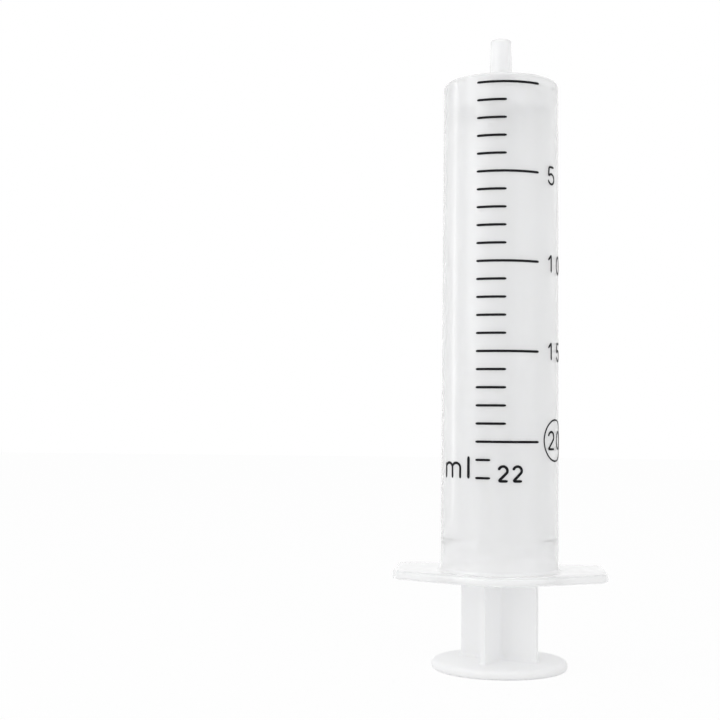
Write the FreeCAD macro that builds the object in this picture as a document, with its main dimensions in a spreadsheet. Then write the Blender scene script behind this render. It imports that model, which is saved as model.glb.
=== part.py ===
import FreeCAD, Part
import os
import Sketcher
from math import pi

# Two-part 20 ml syringe with its nozzle off centre. Millimetres. +Z runs along the
# bore from the thumb disc up to the nozzle, Z = 0 is the underside of the thumb disc,
# the scale faces -Y and the nozzle stands on the +Y side of the bore's axis.
# The plunger is shown pushed all the way in.

# Driving dimensions: alias, value, what it is
SIZES = [
    ("bore_dia", 19.8, "inside diameter of the barrel"),
    ("wall_end", 0.8, "barrel wall at the nozzle end"),
    ("wall_mouth", 1.0, "barrel wall at the mouth, thicker by the mould's draft"),
    ("bore_depth", 90.6, "from the mouth to the inner end face"),
    ("end_wall", 1.65, "thickness of the barrel's end"),
    ("shoulder_round", 0.9, "rounding of the barrel's outer end edge"),
    ("mouth_lead", 0.3, "width and height of the bevel inside the mouth"),
    ("bead_rise", 0.2, "how far the retaining bead stands into the bore"),
    ("bead_width", 1.4, "length of the bead along the bore"),
    ("bead_up", 7.2, "middle of the bead above the mouth"),
    ("flange_half", 19.7, "half the span of the finger flange"),
    ("flange_thick", 1.6, "thickness of the finger flange"),
    ("flange_back", 1.2, "flat back edge outside the barrel wall"),
    ("flange_front", 2.5, "round front edge outside the barrel wall"),
    ("flange_slope", 30.0, "degrees that the front edges fall back to the ends"),
    ("flange_back_round", 1.6, "corner radius at the back"),
    ("flange_tip_round", 3.0, "corner radius at the ends' front"),
    ("flange_edge_bevel", 0.25, "bevel of the flange's rim"),
    ("flange_root_round", 0.75, "fillet from the flange to the barrel"),
    ("nozzle_offset", 6.0, "nozzle axis from the bore axis"),
    ("nozzle_length", 10.2, "nozzle above the barrel's end"),
    ("nozzle_end_dia", 3.95, "small end of the male cone"),
    ("nozzle_taper", 0.06, "loss of diameter per length of the cone"),
    ("nozzle_end_bevel", 0.25, "bevel of the nozzle's end"),
    ("nozzle_root_bevel", 0.35, "bevelled foot of the nozzle"),
    ("lumen_end_dia", 2.0, "nozzle passage at its outer end"),
    ("lumen_root_dia", 2.6, "nozzle passage where it leaves the bore"),
    ("disc_dia", 25.0, "thumb disc"),
    ("disc_thick", 1.7, "thickness of the thumb disc"),
    ("disc_edge_round", 0.6, "rounding of the thumb disc's rim towards the ribs"),
    ("disc_face_bevel", 0.35, "bevel between the thumb disc's rim and its face"),
    ("grip_gap", 14.7, "from the thumb disc up to the flange, plunger in"),
    ("rib_thick", 1.0, "thickness of the plunger's ribs"),
    ("rib_grip_half", 7.55, "reach of the ribs below the bead"),
    ("rib_play", 0.5, "from the ribs in the bore to its wall"),
    ("rib_foot_round", 0.6, "fillet from the ribs to the thumb disc"),
    ("rib_turn", -23.5, "degrees that the ribs are turned about the axis"),
    ("head_height", 3.6, "height of the sealing head"),
    ("head_play", 0.2, "from the head to the inner end face, plunger in"),
    ("lip_play", 0.1, "from the sealing lips to the wall"),
    ("lip_height", 0.9, "height of each sealing lip"),
    ("lip_depth", 0.7, "depth of the groove between the lips"),
    ("line_rise", 0.04, "thickness of the printed lines"),
    ("line_seat", 0.01, "from the wall to the printed lines"),
    ("line_width", 0.36, "width of the printed lines"),
    ("line_start", -24.2, "degrees from -Y where the lines start"),
    ("line_short_end", 6.5, "degrees where the short lines end"),
    ("line_long_end", 40.3, "degrees where every fifth line ends"),
    ("line_spare_end", -9.8, "degrees where the lines past the full mark end"),
    ("full_mark", 20, "nominal volume in ml"),
    ("spare_marks", 2, "lines past the nominal volume"),
    ("long_every", 5, "every which line is long"),
    ("line_volume", 1000.0, "cubic millimetres from line to line"),
]

# Places worked out from them
BORE_R = "sizes.bore_dia / 2"
MOUTH = "(sizes.disc_thick + sizes.grip_gap)"
MOUTH_R = f"({BORE_R} + sizes.wall_mouth)"
END_R = f"({BORE_R} + sizes.wall_end)"
INNER_END = f"({MOUTH} + sizes.bore_depth)"
OUTER_END = f"({INNER_END} + sizes.end_wall)"
NOZZLE_END = f"({OUTER_END} + sizes.nozzle_length)"
BEAD = f"({MOUTH} + sizes.bead_up)"
FLANGE_R = f"({MOUTH_R} + sizes.flange_front)"
SLOPE = "(sizes.flange_slope * 1 deg)"
HEAD_TOP = f"({INNER_END} - sizes.head_play)"
HEAD_FOOT = f"({HEAD_TOP} - sizes.head_height)"
LIP_R = f"({BORE_R} - sizes.lip_play)"
GROOVE_R = f"({LIP_R} - sizes.lip_depth)"
RIB_R = f"({BORE_R} - sizes.rib_play)"

doc = FreeCAD.newDocument("syringe")
sizes = doc.addObject("Spreadsheet::Sheet", "sizes")
for row, (alias, number, note) in enumerate(SIZES, start=1):
    sizes.set(f"A{row}", alias)
    sizes.set(f"B{row}", str(number))
    sizes.setAlias(f"B{row}", alias)
    sizes.set(f"C{row}", note)
doc.recompute()


def value(text):
    """The present number of an expression on the sheet."""
    found = sizes.evalExpression(text)
    return float(getattr(found, "Value", found))


def new_body(label):
    body = doc.addObject("PartDesign::Body", label)
    body.Label = label
    return body


def new_sketch(body, name, plane, height=None, aside=None):
    """A sketch on one of the body's origin planes, raised to a height or moved aside along the plane's normal."""
    sketch = body.newObject("Sketcher::SketchObject", name)
    base = [f for f in body.Origin.OriginFeatures if f.Role == plane]
    sketch.AttachmentSupport = [(base[0], "")]
    sketch.MapMode = "FlatFace"
    away = height or aside
    if away:
        sketch.setExpression("AttachmentOffset.Base.z", away)
    return sketch


def pin_point(sketch, line, end, across, up):
    """Holds one end of a line at a place given by two expressions. A leading minus puts it on the negative side."""
    for kind, axis, text in (("DistanceX", -2, across), ("DistanceY", -1, up)):
        if text == "0":
            sketch.addConstraint(Sketcher.Constraint("PointOnObject", line, end, axis))
            continue
        negative = text.startswith("-")
        size = text[1:] if negative else text
        ends = (line, end, -1, 1) if negative else (-1, 1, line, end)
        held = sketch.addConstraint(Sketcher.Constraint(kind, *ends, value(size)))
        sketch.setExpression(f"Constraints[{held}]", size)


def at(text):
    """The number of a signed expression."""
    return -value(text[1:]) if text.startswith("-") else value(text)


def draw_outline(sketch, corners, open_end=False):
    """Straight lines from corner to corner, each corner held by two expressions."""
    spots = [FreeCAD.Vector(at(x), at(y), 0) for x, y in corners]
    last = len(spots) - 1
    for n in range(last):
        sketch.addGeometry(Part.LineSegment(spots[n], spots[n + 1]), False)
    if not open_end:
        sketch.addGeometry(Part.LineSegment(spots[last], spots[0]), False)
        sketch.addConstraint(Sketcher.Constraint("Coincident", last, 2, 0, 1))
    for n in range(last):
        pin_point(sketch, n, 1, *corners[n])
    for n in range(1, last):
        sketch.addConstraint(Sketcher.Constraint("Coincident", n - 1, 2, n, 1))
    if open_end:
        pin_point(sketch, last - 1, 2, *corners[last])
    else:
        sketch.addConstraint(Sketcher.Constraint("Coincident", last - 1, 2, last, 1))
        pin_point(sketch, last, 1, *corners[last])


def draw_circle(sketch, radius):
    circle = Part.Circle(FreeCAD.Vector(0, 0, 0), FreeCAD.Vector(0, 0, 1), value(radius))
    sketch.addGeometry(circle, False)
    sketch.addConstraint(Sketcher.Constraint("Coincident", 0, 3, -1, 1))
    held = sketch.addConstraint(Sketcher.Constraint("Radius", 0, value(radius)))
    sketch.setExpression(f"Constraints[{held}]", radius)


def add_pad(body, name, sketch, length, midplane=False):
    pad = body.newObject("PartDesign::Pad", name)
    pad.Profile = sketch
    pad.setExpression("Length", length)
    pad.Midplane = midplane
    doc.recompute()
    return pad


def add_turned(body, kind, name, sketch):
    """A Revolution or a Groove all the way round the sketch's own vertical axis."""
    turned = body.newObject(f"PartDesign::{kind}", name)
    turned.Profile = sketch
    turned.ReferenceAxis = (sketch, ["V_Axis"])
    turned.Angle = 360
    doc.recompute()
    return turned


def add_edge_work(body, kind, name, size, wanted):
    """A Fillet or a Chamfer on the edges of the body's present shape for which wanted(edge) is true."""
    base = body.Tip
    edges = [f"Edge{n}" for n, edge in enumerate(base.Shape.Edges, start=1) if wanted(edge)]
    if not edges:
        raise RuntimeError(f"{name} finds no edge")
    feature = body.newObject(f"PartDesign::{kind}", name)
    feature.Base = (base, edges)
    feature.setExpression("Radius" if kind == "Fillet" else "Size", size)
    doc.recompute()
    return feature


def add_fillet(body, name, radius, wanted):
    return add_edge_work(body, "Fillet", name, radius, wanted)


def add_bevel(body, name, size, wanted):
    return add_edge_work(body, "Chamfer", name, size, wanted)


NEAR = 1e-4


def level(edge, height):
    """True if the whole edge lies at one height."""
    box = edge.BoundBox
    return abs(box.ZMin - height) < NEAR and abs(box.ZMax - height) < NEAR


def ring(edge, radius, height, centre_y=0.0):
    """True for a full circle about a vertical axis."""
    curve = edge.Curve
    if not isinstance(curve, Part.Circle) or not level(edge, height):
        return False
    return abs(curve.Radius - radius) < NEAR and abs(curve.Center.y - centre_y) < NEAR


def upright(edge, x, y):
    """True for a vertical edge at a place in plan."""
    box = edge.BoundBox
    if box.ZLength < NEAR or max(box.XLength, box.YLength) > NEAR:
        return False
    return abs(abs(box.Center.x) - x) < NEAR and abs(box.Center.y - y) < NEAR


# Barrel: finger flange, drafted tube and off-centre nozzle in one moulding
def make_barrel():
    body = new_body("barrel")

    # Flange in plan: flat at the back, round in front, with edges that fall back
    # along tangents of the round part to the two ends
    back = f"({MOUTH_R} + sizes.flange_back)"
    tangent_x = f"({FLANGE_R} * sin({SLOPE}))"
    tangent_y = f"({FLANGE_R} * cos({SLOPE}))"
    end_y = f"({FLANGE_R} / cos({SLOPE}) - sizes.flange_half * tan({SLOPE}))"
    plan = new_sketch(body, "flange_plan", "XY_Plane", height=MOUTH)
    draw_outline(
        plan,
        [
            (tangent_x, "-" + tangent_y),
            ("sizes.flange_half", "-" + end_y),
            ("sizes.flange_half", back),
            ("-sizes.flange_half", back),
            ("-sizes.flange_half", "-" + end_y),
            ("-" + tangent_x, "-" + tangent_y),
        ],
        open_end=True,
    )
    lines = plan.GeometryCount
    slope = value("sizes.flange_slope") * pi / 180
    circle = Part.Circle(FreeCAD.Vector(0, 0, 0), FreeCAD.Vector(0, 0, 1), value(FLANGE_R))
    plan.addGeometry(Part.ArcOfCircle(circle, -pi / 2 - slope, -pi / 2 + slope), False)
    plan.addConstraint(Sketcher.Constraint("Coincident", lines, 1, lines - 1, 2))
    plan.addConstraint(Sketcher.Constraint("Coincident", lines, 2, 0, 1))
    plan.addConstraint(Sketcher.Constraint("PointOnObject", lines, 3, -1))
    add_pad(body, "flange", plan, "sizes.flange_thick")

    half = value("sizes.flange_half")
    add_fillet(
        body,
        "flange_back_corners",
        "sizes.flange_back_round",
        lambda edge: upright(edge, half, value(back)),
    )
    add_fillet(
        body,
        "flange_tip_corners",
        "sizes.flange_tip_round",
        lambda edge: upright(edge, half, -value(end_y)),
    )
    foot = value(MOUTH)
    top = foot + value("sizes.flange_thick")
    add_bevel(
        body,
        "flange_rim",
        "sizes.flange_edge_bevel",
        lambda edge: level(edge, foot) or level(edge, top),
    )

    wall = new_sketch(body, "wall_section", "XZ_Plane")
    draw_outline(wall, [("0", MOUTH), (MOUTH_R, MOUTH), (END_R, OUTER_END), ("0", OUTER_END)])
    add_turned(body, "Revolution", "wall", wall)

    # Male cone on its own axis, rooted in the end wall
    root = f"({OUTER_END} - sizes.end_wall / 2)"
    end_r = "sizes.nozzle_end_dia / 2"
    root_r = f"({end_r} + (sizes.nozzle_length + sizes.end_wall / 2) * sizes.nozzle_taper / 2)"
    cone = new_sketch(body, "nozzle_section", "XZ_Plane", aside="-sizes.nozzle_offset")
    draw_outline(cone, [("0", root), (root_r, root), (end_r, NOZZLE_END), ("0", NOZZLE_END)])
    add_turned(body, "Revolution", "nozzle", cone)

    # Worked edges of the outside
    offset = value("sizes.nozzle_offset")
    outer_end = value(OUTER_END)
    foot_r = value(end_r) + value("sizes.nozzle_length * sizes.nozzle_taper / 2")
    add_fillet(
        body,
        "shoulder",
        "sizes.shoulder_round",
        lambda edge: ring(edge, value(END_R), outer_end),
    )
    add_bevel(
        body,
        "nozzle_root",
        "sizes.nozzle_root_bevel",
        lambda edge: ring(edge, foot_r, outer_end, offset),
    )
    add_bevel(
        body,
        "nozzle_rim",
        "sizes.nozzle_end_bevel",
        lambda edge: ring(edge, value(end_r), value(NOZZLE_END), offset),
    )
    draft = value(f"({MOUTH_R} - {END_R}) / ({OUTER_END} - {MOUTH})")
    top_r = value(MOUTH_R) - draft * value("sizes.flange_thick")
    add_fillet(
        body,
        "flange_root",
        "sizes.flange_root_round",
        lambda edge: ring(edge, top_r, top),
    )

    # Bore with its bevelled mouth and the bead that keeps the plunger in
    bore = new_sketch(body, "bore_section", "XZ_Plane")
    half_bead = "sizes.bead_width / 2"
    crest = "sizes.bead_width / 6"
    crest_r = f"({BORE_R} - sizes.bead_rise)"
    draw_outline(
        bore,
        [
            ("0", MOUTH),
            (f"({BORE_R} + sizes.mouth_lead)", MOUTH),
            (BORE_R, f"({MOUTH} + sizes.mouth_lead)"),
            (BORE_R, f"({BEAD} - {half_bead})"),
            (crest_r, f"({BEAD} - {crest})"),
            (crest_r, f"({BEAD} + {crest})"),
            (BORE_R, f"({BEAD} + {half_bead})"),
            (BORE_R, INNER_END),
            ("0", INNER_END),
        ],
    )
    add_turned(body, "Groove", "bore", bore)

    # Passage through the nozzle
    lumen = new_sketch(body, "lumen_section", "XZ_Plane", aside="-sizes.nozzle_offset")
    draw_outline(
        lumen,
        [
            ("0", INNER_END),
            ("sizes.lumen_root_dia / 2", INNER_END),
            ("sizes.lumen_end_dia / 2", NOZZLE_END),
            ("0", NOZZLE_END),
        ],
    )
    add_turned(body, "Groove", "lumen", lumen)
    return body


# Plunger: thumb disc, four ribs and the head with its sealing lips in one moulding
def make_plunger():
    body = new_body("plunger")

    disc = new_sketch(body, "disc_plan", "XY_Plane")
    draw_circle(disc, "sizes.disc_dia / 2")
    add_pad(body, "thumb_disc", disc, "sizes.disc_thick")
    disc_r = value("sizes.disc_dia / 2")
    disc_top = value("sizes.disc_thick")
    add_fillet(
        body,
        "disc_rim",
        "sizes.disc_edge_round",
        lambda edge: ring(edge, disc_r, disc_top),
    )
    add_bevel(
        body,
        "disc_face",
        "sizes.disc_face_bevel",
        lambda edge: ring(edge, disc_r, 0.0),
    )

    # One rib from the side: narrow below the bead, then a slope out to the bore
    side = new_sketch(body, "rib_side", "XZ_Plane")
    step = f"({RIB_R} - sizes.rib_grip_half)"
    draw_outline(
        side,
        [
            ("0", "sizes.disc_thick / 2"),
            ("sizes.rib_grip_half", "sizes.disc_thick / 2"),
            ("sizes.rib_grip_half", f"({BEAD} - {step})"),
            (RIB_R, BEAD),
            (RIB_R, f"({HEAD_FOOT} + sizes.lip_height / 2)"),
            ("0", f"({HEAD_FOOT} + sizes.lip_height / 2)"),
        ],
    )
    rib = add_pad(body, "rib", side, "sizes.rib_thick", midplane=True)
    ribs = body.newObject("PartDesign::PolarPattern", "ribs")
    ribs.Originals = [rib]
    up = [f for f in body.Origin.OriginFeatures if f.Role == "Z_Axis"]
    ribs.Axis = (up[0], [""])
    ribs.Angle = 360
    ribs.Occurrences = 4
    body.Tip = ribs
    doc.recompute()

    reach = value("sizes.rib_grip_half")
    add_fillet(
        body,
        "rib_feet",
        "sizes.rib_foot_round",
        lambda edge: level(edge, disc_top) and edge.BoundBox.DiagonalLength < reach * 2,
    )

    # Head: two lips that wipe the bore, with a groove between them
    head = new_sketch(body, "head_section", "XZ_Plane")
    lip = "sizes.lip_height"
    bevel = "sizes.lip_height / 3"
    draw_outline(
        head,
        [
            ("0", HEAD_FOOT),
            (LIP_R, HEAD_FOOT),
            (LIP_R, f"({HEAD_FOOT} + {lip})"),
            (GROOVE_R, f"({HEAD_FOOT} + {lip} + {bevel})"),
            (GROOVE_R, f"({HEAD_TOP} - {lip} - {bevel})"),
            (LIP_R, f"({HEAD_TOP} - {lip})"),
            (LIP_R, f"({HEAD_TOP} - {bevel})"),
            (f"({LIP_R} - {bevel})", HEAD_TOP),
            ("0", HEAD_TOP),
        ],
    )
    add_turned(body, "Revolution", "head", head)

    turn = FreeCAD.Rotation(FreeCAD.Vector(0, 0, 1), value("sizes.rib_turn"))
    body.Placement = FreeCAD.Placement(FreeCAD.Vector(0, 0, 0), turn)
    body.setExpression("Placement.Rotation.Angle", "sizes.rib_turn * 1 deg")
    doc.recompute()
    return body


# Scale: thin curved lines printed on the drafted wall, long ones at every fifth
def make_graduation_marks():
    zero = value(HEAD_TOP)
    pitch = sizes.line_volume / (pi * value(BORE_R) ** 2)
    mouth = value(MOUTH)
    mouth_r = value(MOUTH_R)
    draft = (mouth_r - value(END_R)) / (value(OUTER_END) - mouth)
    axis = FreeCAD.Vector(0, 0, 1)
    middle = FreeCAD.Vector(0, 0, 0)

    def wall_r(height):
        return mouth_r - draft * (height - mouth)

    def line_end(number):
        if number > sizes.full_mark:
            return sizes.line_spare_end
        return sizes.line_short_end if number % sizes.long_every else sizes.line_long_end

    lines = []
    for number in range(int(sizes.full_mark + sizes.spare_marks) + 1):
        height = zero - number * pitch
        section = []
        for rise, up in ((0, -0.5), (1, -0.5), (1, 0.5), (0, 0.5)):
            z = height + up * sizes.line_width
            section.append(FreeCAD.Vector(wall_r(z) + sizes.line_seat + rise * sizes.line_rise, 0, z))
        face = Part.Face(Part.makePolygon(section + section[:1]))
        face.rotate(middle, axis, sizes.line_start - 90)
        lines.append(face.revolve(middle, axis, line_end(number) - sizes.line_start))
    marks = doc.addObject("Part::Feature", "graduation_marks")
    marks.Label = "graduation_marks"
    marks.Shape = Part.makeCompound(lines)
    return marks


pieces = [make_barrel(), make_plunger(), make_graduation_marks()]
doc.recompute()

for thing in doc.Objects:
    if "Invalid" in thing.State or "Error" in thing.State:
        raise RuntimeError(f"{thing.Label} failed: {thing.State}")
for piece in pieces:
    shape = piece.Shape
    if shape.isNull() or not shape.isValid() or not shape.Solids:
        raise RuntimeError(f"{piece.Label} has no valid solid")
    print(piece.Label, len(shape.Solids), "solids", round(shape.Volume, 2), "mm3", shape.BoundBox)

os.makedirs("parts", exist_ok=True)
for piece in pieces:
    piece.Shape.exportStep(f"parts/{piece.Label}.step")
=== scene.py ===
import bpy
from math import ceil, cos, hypot, pi, radians, sin
from mathutils import Matrix, Vector


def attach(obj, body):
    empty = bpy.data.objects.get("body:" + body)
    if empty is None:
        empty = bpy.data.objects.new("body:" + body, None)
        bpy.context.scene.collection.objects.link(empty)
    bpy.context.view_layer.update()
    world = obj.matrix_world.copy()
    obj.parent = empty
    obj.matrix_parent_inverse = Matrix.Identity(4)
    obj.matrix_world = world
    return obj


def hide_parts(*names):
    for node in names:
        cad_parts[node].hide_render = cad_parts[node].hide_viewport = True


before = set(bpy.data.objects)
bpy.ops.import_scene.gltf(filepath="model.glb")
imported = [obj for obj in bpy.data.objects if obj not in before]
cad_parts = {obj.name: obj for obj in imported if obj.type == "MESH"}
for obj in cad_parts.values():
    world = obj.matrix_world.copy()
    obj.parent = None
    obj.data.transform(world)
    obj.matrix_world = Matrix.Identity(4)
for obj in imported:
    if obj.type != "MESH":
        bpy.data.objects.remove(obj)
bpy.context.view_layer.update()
mm = 0.001
oneSpot = 0.001 * mm  # spots nearer than this are one
margin = 0.01  # millimetres, for edges picked by their height
smoothing = {"angle": 32, "flatWeight": 80}


# Small tools

def deselectAll():
    if bpy.context.mode != "OBJECT":
        bpy.ops.object.mode_set(mode="OBJECT")
    bpy.ops.object.select_all(action="DESELECT")


def choose(piece):
    deselectAll()
    piece.select_set(True)
    bpy.context.view_layer.objects.active = piece


def namedPiece(name):
    piece = bpy.context.active_object
    piece.name = name
    piece.data.name = name
    return piece


def drawChain(name, spots, closed=False):  # one point, extruded from spot to spot
    deselectAll()
    bpy.ops.mesh.primitive_plane_add(size=mm)
    piece = namedPiece(name)
    bpy.ops.object.mode_set(mode="EDIT")
    bpy.ops.mesh.select_mode(type="VERT")
    bpy.ops.mesh.select_all(action="SELECT")
    bpy.ops.mesh.merge(type="CENTER")
    here = Vector((0, 0, 0))
    bpy.ops.transform.translate(value=Vector(spots[0]) - here)
    here = Vector(spots[0])
    for spot in spots[1:]:
        step = Vector(spot) - here
        bpy.ops.mesh.extrude_region_move(TRANSFORM_OT_translate={"value": step})
        here = Vector(spot)
    bpy.ops.mesh.select_all(action="SELECT")
    bpy.ops.mesh.remove_doubles(threshold=oneSpot)
    if closed:
        bpy.ops.mesh.edge_face_add()
    bpy.ops.object.mode_set(mode="OBJECT")
    return piece


def spinRound(piece, steps, centre=(0, 0, 0)):  # turns a chain round, with flat ends where it is open
    choose(piece)
    bpy.ops.object.mode_set(mode="EDIT")
    bpy.ops.mesh.select_all(action="SELECT")
    bpy.ops.mesh.spin(steps=steps, angle=2 * pi, center=centre, axis=(0, 0, 1))
    bpy.ops.mesh.select_all(action="SELECT")
    bpy.ops.mesh.remove_doubles(threshold=2 * oneSpot)
    bpy.ops.mesh.fill_holes(sides=0)
    bpy.ops.mesh.select_all(action="SELECT")
    bpy.ops.mesh.normals_make_consistent(inside=False)
    bpy.ops.object.mode_set(mode="OBJECT")
    return piece


def bow(x, z, wide, high, start, end, count=16):  # spots of an oval arc, angles in degrees
    spots = []
    for n in range(count + 1):
        turn = radians(start + (end - start) * n / count)
        spots.append((x + wide * cos(turn), z + high * sin(turn)))
    return spots


def arcSpots(centre, radius, start, end, count):
    return bow(*centre, radius, radius, start, end, count)


def section(spots):  # millimetres in the section to metres in space
    return [(x * mm, 0, z * mm) for x, z in spots]


def combine(piece, other, how):  # union or difference, with the second one used up
    choose(piece)
    step = piece.modifiers.new(how.lower(), "BOOLEAN")
    step.operation = how
    step.solver = "EXACT"
    step.object = other
    bpy.ops.object.modifier_apply(modifier=step.name)
    bpy.data.objects.remove(other)


def smoothOver(piece):  # smooth rounds between faces that stay flat
    choose(piece)
    bpy.ops.object.shade_smooth_by_angle(angle=radians(smoothing["angle"]))
    flats = piece.modifiers.new("flats", "WEIGHTED_NORMAL")
    flats.keep_sharp = True
    flats.weight = smoothing["flatWeight"]
    bpy.ops.object.modifier_apply(modifier=flats.name)


def selectEdges(piece, wanted):  # leaves edit mode on, with only the wanted edges selected
    choose(piece)
    bpy.ops.object.mode_set(mode="EDIT")
    bpy.ops.mesh.select_mode(type="EDGE")
    bpy.ops.mesh.select_all(action="DESELECT")
    bpy.ops.object.mode_set(mode="OBJECT")
    mesh = piece.data
    for edge in mesh.edges:
        first, last = (mesh.vertices[v].co / mm for v in edge.vertices)
        edge.select = wanted(first, last)
    bpy.ops.object.mode_set(mode="EDIT")


def giveMaterial(piece, material):
    piece.data.materials.clear()
    piece.data.materials.append(material)


# Materials

def newMaterial(name):
    material = bpy.data.materials.new(name)
    material.use_nodes = True
    nodes = material.node_tree.nodes
    return material, nodes, material.node_tree.links, nodes["Principled BSDF"]


def addNoise(nodes, links, look):  # noise in the piece's own metres
    place = nodes.new("ShaderNodeTexCoord")
    mapping = nodes.new("ShaderNodeMapping")
    mapping.inputs["Scale"].default_value = look["grainStretch"]
    noise = nodes.new("ShaderNodeTexNoise")
    noise.inputs["Scale"].default_value = look["grainScale"]
    noise.inputs["Detail"].default_value = look["grainDetail"]
    links.new(place.outputs["Object"], mapping.inputs["Vector"])
    links.new(mapping.outputs["Vector"], noise.inputs["Vector"])
    return noise.outputs["Fac"]


def addRange(nodes, links, source, span, levels, fade="LINEAR"):  # carries a span over to new levels
    spread = nodes.new("ShaderNodeMapRange")
    spread.interpolation_type = fade
    spread.inputs["From Min"].default_value, spread.inputs["From Max"].default_value = span
    spread.inputs["To Min"].default_value, spread.inputs["To Max"].default_value = levels
    links.new(source, spread.inputs["Value"])
    return spread.outputs["Result"]


def addMath(nodes, links, operation, first, second):
    step = nodes.new("ShaderNodeMath")
    step.operation = operation
    for socket, value in zip(step.inputs, (first, second)):
        if isinstance(value, float):
            socket.default_value = value
        else:
            links.new(value, socket)
    return step.outputs["Value"]


def addRays(nodes, links, *kinds):  # 1 where the ray is of one of these kinds
    path = nodes.new("ShaderNodeLightPath")
    share = path.outputs[kinds[0]]
    for kind in kinds[1:]:
        share = addMath(nodes, links, "MAXIMUM", share, path.outputs[kind])
    return share


def addMix(nodes, links, share, first, second):
    mix = nodes.new("ShaderNodeMixShader")
    for socket, source in zip(mix.inputs, (share, first, second)):
        links.new(source, socket)
    return mix.outputs["Shader"]


noiseSpan = (0.3, 0.7)  # where nearly all of the noise lies
clearPlastic = {
    "colour": (0.985, 0.986, 0.988, 1), "ior": 1.49, "roughness": (0.15, 0.21),
    "depth": (0.0015, 0.0015, 0.0015), "gloss": 0.7, "glossRoughness": 0.035,
    "grainScale": 160, "grainDetail": 2.0, "grainStretch": (1, 1, 0.25),
    "clear": 0.5, "flangeClear": 0.14, "nozzleClear": 0.22,
    "flangeFade": (0.0178, 0.0225), "nozzleFade": (0.1078, 0.1088),  # heights in metres
    "absorb": (0.5, 0.52, 0.55, 1), "density": 10, "lightShare": 0.85, "lightColour": (0.96, 0.962, 0.965, 1),
}


def addClearShare(nodes, links):  # clear in the tube's wall, hazier in the flange and the nozzle
    place = nodes.new("ShaderNodeTexCoord")
    parts = nodes.new("ShaderNodeSeparateXYZ")
    links.new(place.outputs["Object"], parts.inputs["Vector"])
    height = parts.outputs["Z"]
    lowLevels = (clearPlastic["flangeClear"], clearPlastic["clear"])
    highLevels = (1.0, clearPlastic["nozzleClear"] / clearPlastic["clear"])
    low = addRange(nodes, links, height, clearPlastic["flangeFade"], lowLevels, "SMOOTHSTEP")
    high = addRange(nodes, links, height, clearPlastic["nozzleFade"], highLevels, "SMOOTHSTEP")
    share = addMath(nodes, links, "MULTIPLY", low, high)
    inside = nodes.new("ShaderNodeNewGeometry").outputs["Backfacing"]  # no haze where light leaves a wall
    return addMath(nodes, links, "MAXIMUM", share, inside)


def makeClearPlastic():  # polypropylene: clear with a slight haze, hazier where it is thick
    material, nodes, links, shader = newMaterial("clearPolypropylene")
    shader.inputs["Base Color"].default_value = clearPlastic["colour"]
    shader.inputs["IOR"].default_value = clearPlastic["ior"]
    shader.inputs["Subsurface Weight"].default_value = 1.0
    shader.inputs["Subsurface Radius"].default_value = clearPlastic["depth"]
    shader.inputs["Subsurface Scale"].default_value = 1.0
    shader.inputs["Coat Weight"].default_value = clearPlastic["gloss"]
    shader.inputs["Coat Roughness"].default_value = clearPlastic["glossRoughness"]
    grain = addNoise(nodes, links, clearPlastic)
    roughness = addRange(nodes, links, grain, noiseSpan, clearPlastic["roughness"])
    links.new(roughness, shader.inputs["Roughness"])
    links.new(addClearShare(nodes, links), shader.inputs["Transmission Weight"])
    # light from the room and the lamps goes through the clear wall to the plunger
    light = addRays(nodes, links, "Is Diffuse Ray", "Is Shadow Ray")
    light = addMath(nodes, links, "MULTIPLY", light, clearPlastic["lightShare"])
    through = nodes.new("ShaderNodeBsdfTransparent")
    through.inputs["Color"].default_value = clearPlastic["lightColour"]
    surface = addMix(nodes, links, light, shader.outputs["BSDF"], through.outputs["BSDF"])
    body = nodes.new("ShaderNodeVolumeAbsorption")
    body.inputs["Color"].default_value = clearPlastic["absorb"]
    body.inputs["Density"].default_value = clearPlastic["density"]
    links.new(surface, nodes["Material Output"].inputs["Surface"])
    links.new(body.outputs["Volume"], nodes["Material Output"].inputs["Volume"])
    return material


milkyPlastic = {
    "colour": (0.957, 0.959, 0.964, 1), "ior": 1.51, "scatter": 0.7, "depth": (0.002, 0.002, 0.0021),
    "roughness": (0.36, 0.48), "grainScale": 220, "grainDetail": 2.0, "grainStretch": (1, 1, 0.15),
    "bump": 0.08, "bumpDepth": 0.0002,
}


def makeMilkyPlastic():  # polyethylene: milky, light passes into it
    material, nodes, links, shader = newMaterial("milkyPolyethylene")
    shader.inputs["Base Color"].default_value = milkyPlastic["colour"]
    shader.inputs["Subsurface Weight"].default_value = milkyPlastic["scatter"]
    shader.inputs["Subsurface Radius"].default_value = milkyPlastic["depth"]
    shader.inputs["Subsurface Scale"].default_value = 1.0
    shader.inputs["IOR"].default_value = milkyPlastic["ior"]
    flow = addNoise(nodes, links, milkyPlastic)  # the plastic's flow marks run along the plunger
    roughness = addRange(nodes, links, flow, noiseSpan, milkyPlastic["roughness"])
    links.new(roughness, shader.inputs["Roughness"])
    bump = nodes.new("ShaderNodeBump")
    bump.inputs["Strength"].default_value = milkyPlastic["bump"]
    bump.inputs["Distance"].default_value = milkyPlastic["bumpDepth"]
    links.new(flow, bump.inputs["Height"])
    links.new(bump.outputs["Normal"], shader.inputs["Normal"])
    return material


blackInk = {
    "dark": (0.004, 0.004, 0.005, 1), "pale": (0.012, 0.012, 0.014, 1), "roughness": 0.5, "specular": 0.12,
    "grainScale": 5200, "grainDetail": 4.0, "grainStretch": (1, 1, 1),
}


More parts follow.
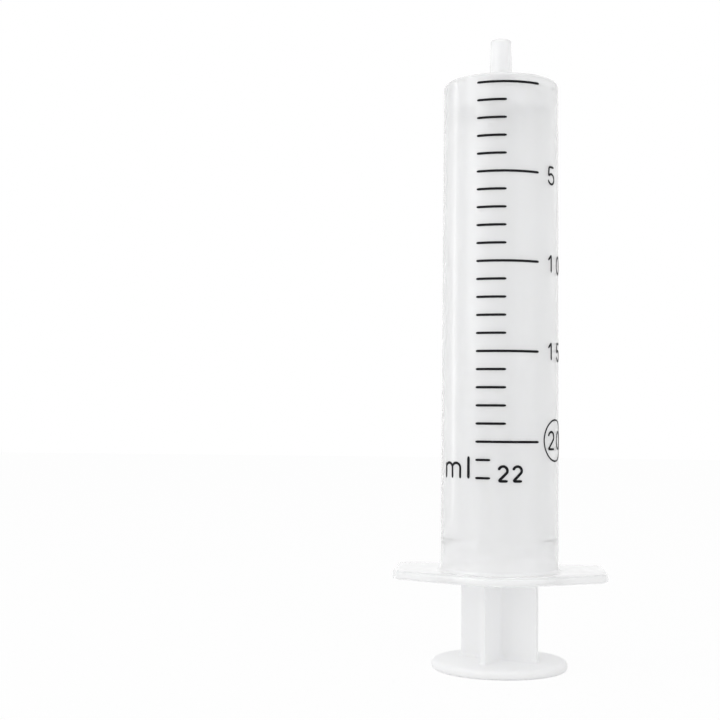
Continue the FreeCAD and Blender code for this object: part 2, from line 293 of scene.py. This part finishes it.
def makeInk():  # black printing ink, a little uneven
    material, nodes, links, shader = newMaterial("printingInk")
    tone = nodes.new("ShaderNodeMix")
    tone.data_type = "RGBA"
    tone.inputs["A"].default_value = blackInk["dark"]
    tone.inputs["B"].default_value = blackInk["pale"]
    links.new(addNoise(nodes, links, blackInk), tone.inputs["Factor"])
    links.new(tone.outputs["Result"], shader.inputs["Base Color"])
    shader.inputs["Roughness"].default_value = blackInk["roughness"]
    shader.inputs["Specular IOR Level"].default_value = blackInk["specular"]
    return material


clear = makeClearPlastic()
milky = makeMilkyPlastic()
ink = makeInk()
print("materials made")


# Barrel: drafted tube, finger flange and off-centre nozzle

barrel = {
    "mouth": 16.4, "innerEnd": 107.0, "outerEnd": 108.65, "steps": 160,
    "boreRadius": 9.9, "mouthRadius": 10.9, "endRadius": 10.7, "shoulder": 0.9, "innerRound": 0.4,
    "flangeTop": 18.0, "flangeRoot": 0.75, "footSunk": 0.6, "mouthLead": 0.3, "boreOver": 1,
    "bead": 23.6, "beadRise": 0.2, "beadWidth": 1.4,
    "beadShape": ((-1, 0), (-0.6, 0.35), (-0.25, 1), (0.25, 1), (0.6, 0.35), (1, 0)),
}
flange = {
    "half": 19.7, "frontRadius": 13.4, "back": 12.1, "slope": 30, "backRound": 1.6, "tipRound": 3.0,
    "topRim": 0.65, "faceRim": 0.4,
}
nozzle = {
    "offset": 6.0, "tip": 118.85, "tipRadius": 1.975, "taper": 0.03, "tipRound": 0.28, "rootRound": 0.25,
    "sunk": 0.5, "steps": 72, "holeTip": 1.0, "holeRoot": 1.3, "holeOver": 0.5, "holeSteps": 48,
}


def wallRadius(height):  # outside radius of the drafted wall
    share = (height - barrel["mouth"]) / (barrel["outerEnd"] - barrel["mouth"])
    return barrel["mouthRadius"] + (barrel["endRadius"] - barrel["mouthRadius"]) * share


def makeTube():
    end, turn = barrel["outerEnd"], barrel["shoulder"]
    root, top = barrel["flangeRoot"], barrel["flangeTop"]
    low = wallRadius(top + root)
    spots = arcSpots((wallRadius(end) - turn, end - turn), turn, 90, 0, 8)
    for share in (0.2, 0.4, 0.6, 0.8):
        height = end - turn + (top + root - end + turn) * share
        spots.append((wallRadius(height), height))
    spots += arcSpots((low + root, top + root), root, 180, 262, 7)
    spots.append((low + root, top - barrel["footSunk"]))
    return spinRound(drawChain("clearBarrel", section(spots)), barrel["steps"])


def flangeOutline():
    half, back, radius = flange["half"], flange["back"], flange["frontRadius"]
    slope = radians(flange["slope"])
    endY = -(radius / cos(slope) - half * sin(slope) / cos(slope))
    corner, tip = flange["backRound"], flange["tipRound"]
    spots = arcSpots((half - corner, back - corner), corner, 90, 0, 5)
    # the front corner's arc touches the end edge and the sloping edge
    centre = (half - tip, endY + (1 / cos(slope) - sin(slope) / cos(slope)) * tip)
    spots += arcSpots(centre, tip, 0, -90 + flange["slope"], 8)
    spots += arcSpots((0, 0), radius, -90 + flange["slope"], -90, 14)
    return spots + [(-x, y) for x, y in reversed(spots[:-1])]


def makeFlange():
    low, top = barrel["mouth"], barrel["flangeTop"]
    outline = [(x * mm, y * mm, low * mm) for x, y in flangeOutline()]
    plate = drawChain("flange", outline, closed=True)
    bpy.ops.object.mode_set(mode="EDIT")
    bpy.ops.mesh.select_all(action="SELECT")
    bpy.ops.mesh.extrude_region_move(TRANSFORM_OT_translate={"value": (0, 0, (top - low) * mm)})
    bpy.ops.mesh.select_all(action="SELECT")
    bpy.ops.mesh.normals_make_consistent(inside=False)
    selectEdges(plate, lambda a, b: min(a.z, b.z) > top - margin)
    bpy.ops.mesh.bevel(offset=flange["topRim"] * mm, segments=5, affect="EDGES")
    selectEdges(plate, lambda a, b: max(a.z, b.z) < low + margin)
    bpy.ops.mesh.bevel(offset=flange["faceRim"] * mm, segments=3, affect="EDGES")
    bpy.ops.object.mode_set(mode="OBJECT")
    return plate


def spinOffCentre(name, spots, steps):  # a round solid on the nozzle's axis
    centre = (0, nozzle["offset"] * mm, 0)
    chain = drawChain(name, [(x, centre[1], z) for x, y, z in section(spots)])
    return spinRound(chain, steps, centre)


def makeNozzle():
    tip, radius, end = nozzle["tip"], nozzle["tipRadius"], barrel["outerEnd"]
    foot = radius + (tip - end) * nozzle["taper"]
    rim, root = nozzle["tipRound"], nozzle["rootRound"]
    spots = arcSpots((radius - rim, tip - rim), rim, 90, 0, 5)
    spots += arcSpots((foot + root, end + root), root, 180, 262, 6)
    spots.append((foot + root, end - nozzle["sunk"]))
    return spinOffCentre("nozzle", spots, nozzle["steps"])


def makeBore():  # what is taken out of the tube
    low, end, radius = barrel["mouth"], barrel["innerEnd"], barrel["boreRadius"]
    lead, bead, half = barrel["mouthLead"], barrel["bead"], barrel["beadWidth"] / 2
    turn = barrel["innerRound"]
    spots = [(radius + lead, low - barrel["boreOver"]), (radius + lead, low), (radius, low + lead)]
    for along, rise in barrel["beadShape"]:  # shares of the bead's half width and of its rise
        spots.append((radius - barrel["beadRise"] * rise, bead + half * along))
    for share in (0.25, 0.5, 0.75):
        spots.append((radius, bead + half + (end - turn - bead - half) * share))
    spots += arcSpots((radius - turn, end - turn), turn, 0, 90, 4)
    return spinRound(drawChain("bore", section(spots)), barrel["steps"])


def makePassage():
    low, top = barrel["innerEnd"] - nozzle["holeOver"], nozzle["tip"] + nozzle["holeOver"]
    spots = [(nozzle["holeRoot"], low), (nozzle["holeTip"], top)]
    return spinOffCentre("passage", spots, nozzle["holeSteps"])


def makeBarrel():
    piece = makeTube()
    combine(piece, makeFlange(), "UNION")
    combine(piece, makeNozzle(), "UNION")
    combine(piece, makeBore(), "DIFFERENCE")
    combine(piece, makePassage(), "DIFFERENCE")
    smoothOver(piece)
    giveMaterial(piece, clear)
    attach(piece, "barrel")
    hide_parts("barrel")


makeBarrel()
print("barrel made")


# Plunger: thumb disc, four ribs and the head with its two lips

plunger = {
    "discRadius": 12.5, "discTop": 1.7, "discRound": 0.85, "faceRound": 0.6, "turn": -23.5, "steps": 144,
    "ribThick": 1.0, "gripHalf": 7.55, "ribRadius": 9.4, "step": 23.6, "coreRound": 0.8, "tipRound": 0.12,
    "footRound": 0.6, "footAngles": (82, 64, 45, 24, 0), "footSunk": 0.4, "topSunk": 0.5,
    "headFoot": 103.2, "headTop": 106.8, "lipRadius": 9.8, "grooveRadius": 9.1, "lip": 0.9,
    "lipRim": 0.1, "grooveSlope": 0.3, "headRound": 0.3,
}


def makeDisc():
    radius, top = plunger["discRadius"], plunger["discTop"]
    rim, low = plunger["discRound"], plunger["faceRound"]
    spots = arcSpots((radius - rim, top - rim), rim, 90, 0, 8)
    spots += arcSpots((radius - low, low), low, 0, -90, 6)
    return spinRound(drawChain("milkyPlunger", section(spots)), plunger["steps"])


def crossOutline(reach, grow):  # the four ribs from above, with round inner corners, grown outwards
    near, core, tip = plunger["ribThick"] / 2, plunger["coreRound"], plunger["tipRound"]
    oneRib = arcSpots((near + core, -near - core), core - grow, 180, 90, 4)
    oneRib += arcSpots((reach - tip, tip - near), tip + grow, -90, 0, 2)
    oneRib += arcSpots((reach - tip, near - tip), tip + grow, 0, 90, 2)
    spots = []
    for side in range(4):
        spots += oneRib
        oneRib = [(-y, x) for x, y in oneRib]
    return [Vector(spot) * mm for spot in spots]


def crossLevels():  # height, reach and growth, from inside the disc up to inside the head
    grip, reach, step = plunger["gripHalf"], plunger["ribRadius"], plunger["step"]
    top, foot, head = plunger["discTop"], plunger["footRound"], plunger["headFoot"]
    levels = []
    for angle in plunger["footAngles"]:
        turn = radians(angle)
        levels.append((top + foot * (1 - sin(turn)), grip, foot * (1 - cos(turn))))
    levels.insert(0, (top - plunger["footSunk"], grip, levels[0][2]))
    return levels + [(step - reach + grip, grip, 0), (step, reach, 0), (head + plunger["topSunk"], reach, 0)]


def makeCross():
    levels = crossLevels()
    height, *shape = levels[0]
    here = crossOutline(*shape)
    piece = drawChain("ribs", [(x, y, height * mm) for x, y in here], closed=True)
    for top, *shape in levels[1:]:
        bpy.ops.object.mode_set(mode="EDIT")
        bpy.ops.mesh.select_mode(type="FACE")
        bpy.ops.mesh.extrude_region_move(TRANSFORM_OT_translate={"value": (0, 0, (top - height) * mm)})
        bpy.ops.object.mode_set(mode="OBJECT")
        there = crossOutline(*shape)
        for v in piece.data.vertices:
            if v.select:
                place = min(range(len(here)), key=lambda k: (here[k] - v.co.xy).length)
                v.co.xy = there[place]
        height, here = top, there
    bpy.ops.object.mode_set(mode="EDIT")
    bpy.ops.mesh.select_all(action="SELECT")
    bpy.ops.mesh.normals_make_consistent(inside=False)
    bpy.ops.object.mode_set(mode="OBJECT")
    return piece


def makeHead():
    foot, top, lip = plunger["headFoot"], plunger["headTop"], plunger["lip"]
    out, groove = plunger["lipRadius"], plunger["grooveRadius"]
    rim, slope, turn = plunger["lipRim"], plunger["grooveSlope"], plunger["headRound"]
    spots = [(out - rim, foot), (out, foot + rim), (out, foot + lip), (groove, foot + lip + slope)]
    spots += [(groove, top - lip - slope), (out, top - lip), (out, top - turn)]
    spots += arcSpots((out - turn, top - turn), turn, 20, 90, 3)
    return spinRound(drawChain("head", section(spots)), plunger["steps"])


def makePlunger():
    piece = makeDisc()
    combine(piece, makeCross(), "UNION")
    combine(piece, makeHead(), "UNION")
    choose(piece)
    piece.rotation_euler = (0, 0, radians(plunger["turn"]))
    bpy.ops.object.transform_apply(location=False, rotation=True, scale=False)
    smoothOver(piece)
    giveMaterial(piece, milky)
    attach(piece, "plunger")
    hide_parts("plunger")


makePlunger()
print("plunger made")


# Print on the wall: scale lines, figures, the ring round the full mark and the unit

printWork = {
    "zero": 106.8, "pitch": 3.2477, "fullMark": 20, "spareMarks": 2, "longEvery": 5, "lineWidth": 0.52,
    "lineStart": -24.2, "shortEnd": 6.5, "longEnd": 40.3, "spareEnd": -8.2,  # degrees round the wall
    "pen": 0.48, "boldPen": 0.57, "ringPen": 0.36, "tipShare": 0.6, "step": 0.35,
    "round": 10.8, "lift": 0.03, "thick": 0.04,
    "figureSize": (2.55, 3.6), "figureStep": 3.33, "figureStart": 9.84,
    "figureMiddles": {"5": 90.45, "10": 74.25, "15": 58.25, "20": 42.1}, "ring": (12.62, 42.1, 3.75),
    "spareSize": (2.2, 3.2), "spareStep": 2.6, "spareStart": -0.48, "spareMiddle": 36.17,
    "unitStart": -12.05, "unitFoot": 34.93, "unitSize": (4.68, 3.3), "unitStemAt": -6.1,
    "unitStemHeight": 4.55,
}


# Pen strokes of each figure in a box one wide and one high
strokes = {
    "0": [bow(0.5, 0.5, 0.5, 0.5, 0, 360, 32)],
    "1": [[(0.0, 0.7), (0.47, 1.0)], [(0.47, 1.0), (0.47, 0.0)]],
    "2": [bow(0.49, 0.71, 0.47, 0.29, 172, -28) + [(0.0, 0.0)], [(0.0, 0.0), (1.0, 0.0)]],
    "5": [[(0.14, 1.0), (0.94, 1.0)], [(0.14, 1.0), (0.03, 0.47)], bow(0.49, 0.29, 0.5, 0.3, 145, -168)],
    "m": [
        [(0.0, 0.0), (0.0, 1.0)],
        bow(0.25, 0.7, 0.25, 0.3, 170, 0) + [(0.5, 0.0)],
        bow(0.75, 0.7, 0.25, 0.3, 170, 0) + [(1.0, 0.0)],
    ],
    "l": [[(0.0, 0.0), (0.0, 1.0)]],
}


def fineSpots(spots):  # the chain in short steps, so that it can follow the round wall
    fine = [spots[0]]
    for (x0, z0), (x1, z1) in zip(spots, spots[1:]):
        length = hypot(x1 - x0, z1 - z0)
        count = max(1, ceil(length / printWork["step"]))
        for n in range(1, count + 1):
            fine.append((x0 + (x1 - x0) * n / count, z0 + (z1 - z0) * n / count))
    return fine


def drawStrokes(name, chains, pen):  # flat pen strokes with narrowed ends, still off the wall
    parts = []
    for chain in chains:
        parts.append(drawChain(name, section(fineSpots(chain))))
    deselectAll()
    for part in parts:
        part.select_set(True)
    bpy.context.view_layer.objects.active = parts[0]
    if len(parts) > 1:
        bpy.ops.object.join()
    bpy.ops.object.convert(target="CURVE")
    curve = bpy.context.active_object.data
    curve.bevel_depth = pen / 2 * mm
    curve.bevel_resolution = 1
    curve.use_fill_caps = True
    for spline in curve.splines:
        if not spline.use_cyclic_u:
            spline.points[0].radius = printWork["tipShare"]
            spline.points[-1].radius = printWork["tipShare"]
    bpy.ops.object.convert(target="MESH")
    return namedPiece(name)


def layOnWall(piece, start, foot, pen):  # wraps flat strokes round the drafted wall
    for v in piece.data.vertices:
        height = foot + v.co.z / mm
        radius = wallRadius(height) + printWork["lift"] - v.co.y / mm * printWork["thick"] / pen
        turn = (start + v.co.x / mm) / printWork["round"]
        v.co = (radius * sin(turn) * mm, -radius * cos(turn) * mm, height * mm)
    giveMaterial(piece, ink)
    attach(piece, "barrel")
    return piece


def drawFigure(name, figure, size, pen):
    wide, high = size[0] - pen, size[1] - pen
    chains = []
    for chain in strokes[figure]:
        chains.append([(x * wide + pen / 2, z * high + pen / 2) for x, z in chain])
    return drawStrokes(name, chains, pen)


def lineHeight(number):
    return printWork["zero"] - printWork["pitch"] * number


def makeLines():
    full, spare, pen = printWork["fullMark"], printWork["spareMarks"], printWork["lineWidth"]
    start = radians(printWork["lineStart"]) * printWork["round"]
    models = {}
    for kind in ("shortEnd", "longEnd", "spareEnd"):
        end = radians(printWork[kind]) * printWork["round"]
        models[kind] = drawStrokes(kind, [[(pen / 4, 0), (end - start - pen / 4, 0)]], pen)
    made = []
    for number in range(full + spare + 1):
        kind = "shortEnd"
        if number % printWork["longEvery"] == 0:
            kind = "longEnd"
        if number > full:
            kind = "spareEnd"
        choose(models[kind])
        bpy.ops.object.duplicate()
        line = namedPiece(f"line{number}")
        made.append(layOnWall(line, start, lineHeight(number), pen))
    for model in models.values():
        bpy.data.objects.remove(model)
    deselectAll()
    for line in made:
        line.select_set(True)
    bpy.context.view_layer.objects.active = made[0]
    bpy.ops.object.join()
    lines = namedPiece("scaleLines")
    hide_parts("graduation_marks")


def makeFigures():
    pen, size, step = printWork["pen"], printWork["figureSize"], printWork["figureStep"]
    for text, middle in printWork["figureMiddles"].items():
        for place, figure in enumerate(text):
            piece = drawFigure(f"figure{text}_{place}", figure, size, pen)
            layOnWall(piece, printWork["figureStart"] + step * place, middle - size[1] / 2, pen)
    pen, size, step = printWork["boldPen"], printWork["spareSize"], printWork["spareStep"]
    for place in range(2):
        piece = drawFigure(f"figure22_{place}", "2", size, pen)
        layOnWall(piece, printWork["spareStart"] + step * place, printWork["spareMiddle"] - size[1] / 2, pen)
    piece = drawFigure("unitFirst", "m", printWork["unitSize"], pen)
    layOnWall(piece, printWork["unitStart"], printWork["unitFoot"], pen)
    piece = drawFigure("unitStem", "l", (pen, printWork["unitStemHeight"]), pen)
    layOnWall(piece, printWork["unitStemAt"], printWork["unitFoot"], pen)
    side, height, radius = printWork["ring"]
    pen = printWork["ringPen"]
    piece = drawStrokes("fullMarkRing", [bow(0, 0, radius, radius, 0, 360, 72)], pen)
    layOnWall(piece, side, height, pen)


makeLines()
makeFigures()
print("print made")


# Floor, light and camera

stage = {
    "floorSize": 3, "floorColour": (0.95, 0.95, 0.95, 1), "floorRoughness": 0.9, "whiteShare": 0.94,
    "roomColour": (0.75, 0.752, 0.755, 1),
}
whiteRays = ("Is Camera Ray", "Is Glossy Ray", "Is Transmission Ray")  # these see a white background


def makeFloor():
    deselectAll()
    bpy.ops.mesh.primitive_plane_add(size=stage["floorSize"])
    floor = namedPiece("floor")
    material, nodes, links, shader = newMaterial("paleFloor")
    shader.inputs["Base Color"].default_value = stage["floorColour"]
    shader.inputs["Roughness"].default_value = stage["floorRoughness"]
    glow = nodes.new("ShaderNodeEmission")
    share = addMath(nodes, links, "MULTIPLY", addRays(nodes, links, *whiteRays), stage["whiteShare"])
    surface = addMix(nodes, links, share, shader.outputs["BSDF"], glow.outputs["Emission"])
    links.new(surface, nodes["Material Output"].inputs["Surface"])
    giveMaterial(floor, material)


def makeWorld():
    world = bpy.data.worlds.new("paleRoom")
    bpy.context.scene.world = world
    world.use_nodes = True
    nodes, links = world.node_tree.nodes, world.node_tree.links
    room = nodes["Background"]
    room.inputs["Color"].default_value = stage["roomColour"]
    room.inputs["Strength"].default_value = 1.0
    white = nodes.new("ShaderNodeBackground")
    white.inputs["Color"].default_value = (1, 1, 1, 1)
    seen = addRays(nodes, links, *whiteRays)
    surface = addMix(nodes, links, seen, room.outputs["Background"], white.outputs["Background"])
    links.new(surface, nodes["World Output"].inputs["Surface"])


lampAim = (0, 0, 0.06)
lamps = {  # place and size in metres, power in watts
    "keyLight": {"place": (-0.48, -0.46, 0.36), "size": (0.6, 0.6), "power": 0.66},
    "fillLight": {"place": (0.5, -0.45, 0.15), "size": (0.5, 0.5), "power": 0.16},
    "sideLight": {"place": (-0.491, 0.11, 0.12), "size": (0.08, 0.5), "power": 0.13},
    "leftSpot": {"place": (-0.341, -0.0915, 0.41), "size": (0.04, 0.04), "power": 0.15},
    "rightSpot": {"place": (0.198, -0.293, 0.41), "size": (0.04, 0.04), "power": 0.13},
}


def addSoftbox(name, look):
    lamp = bpy.data.lights.new(name, "AREA")
    lamp.shape = "RECTANGLE"
    lamp.size, lamp.size_y = look["size"]
    lamp.energy = look["power"]
    box = bpy.data.objects.new(name, lamp)
    box.location = look["place"]
    box.rotation_euler = (Vector(look["place"]) - Vector(lampAim)).to_track_quat("Z", "Y").to_euler()
    bpy.context.scene.collection.objects.link(box)


camera = {
    "place": (0, -0.25212, 0.0453), "lens": 67.28, "sensor": 36, "nearest": 0.01,
    "left": 0.1038, "up": 0.0456, "roll": 0.008,  # radians
}


def addCamera():
    data = bpy.data.cameras.new("camera")
    data.lens = camera["lens"]
    data.sensor_width = camera["sensor"]
    data.clip_start = camera["nearest"]
    eye = bpy.data.objects.new("camera", data)
    bpy.context.scene.collection.objects.link(eye)
    left, up, roll = camera["left"], camera["up"], camera["roll"]
    ahead = Vector((-sin(left) * cos(up), cos(left) * cos(up), sin(up)))
    right = Vector((cos(left), sin(left), 0))
    above = right.cross(ahead)
    rightRolled = right * cos(roll) + above * sin(roll)
    aboveRolled = above * cos(roll) - right * sin(roll)
    turn = Matrix((rightRolled, aboveRolled, -ahead)).transposed().to_4x4()
    eye.matrix_world = Matrix.Translation(Vector(camera["place"])) @ turn
    bpy.context.scene.camera = eye


makeFloor()
makeWorld()
for lampName, lampLook in lamps.items():
    addSoftbox(lampName, lampLook)
addCamera()
bpy.context.scene.view_settings.view_transform = "Standard"
print("stage made")
